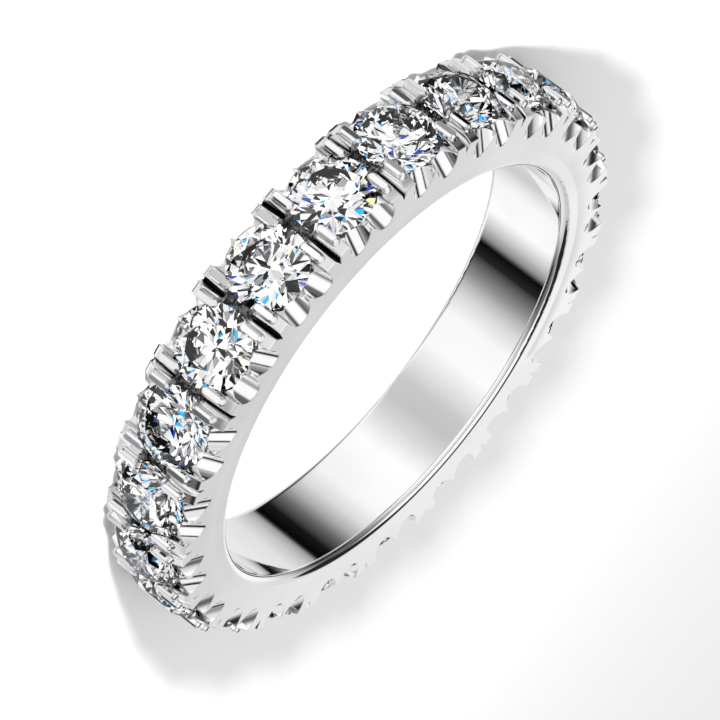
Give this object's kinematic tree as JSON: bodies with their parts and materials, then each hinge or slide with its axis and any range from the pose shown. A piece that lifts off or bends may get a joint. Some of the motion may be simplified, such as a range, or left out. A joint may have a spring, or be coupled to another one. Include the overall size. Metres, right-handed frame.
{
  "type": "eternity ring",
  "caption": "Finger ring with round brilliant stones set all the way round a polished hoop, held by shared pairs of claws over scooped sides.",
  "frame": {"origin": "middle of the lower side face's plane, on the finger hole's axis; the ring lies on that side face", "axes": "+Z along the finger hole's axis, up from the surface the ring lies on; +X through the middle of stone_01"},
  "size_m": [0.0228, 0.0228, 0.0036],
  "materials": {
    "polished_metal": "mirror-polished white silver, with rougher metal left in the gaps between the stones",
    "stone": "clear colourless stone with polished facets"
  },
  "bodies": {
    "root": {"band": "polished_metal", "stone_01": "stone", "stone_02": "stone", "stone_03": "stone", "stone_04": "stone", "stone_05": "stone", "stone_06": "stone", "stone_07": "stone", "stone_08": "stone", "stone_09": "stone", "stone_10": "stone", "stone_11": "stone", "stone_12": "stone", "stone_13": "stone", "stone_14": "stone", "stone_15": "stone", "stone_16": "stone", "stone_17": "stone", "stone_18": "stone", "stone_19": "stone", "stone_20": "stone", "stone_21": "stone"}
  },
  "joints": []
}
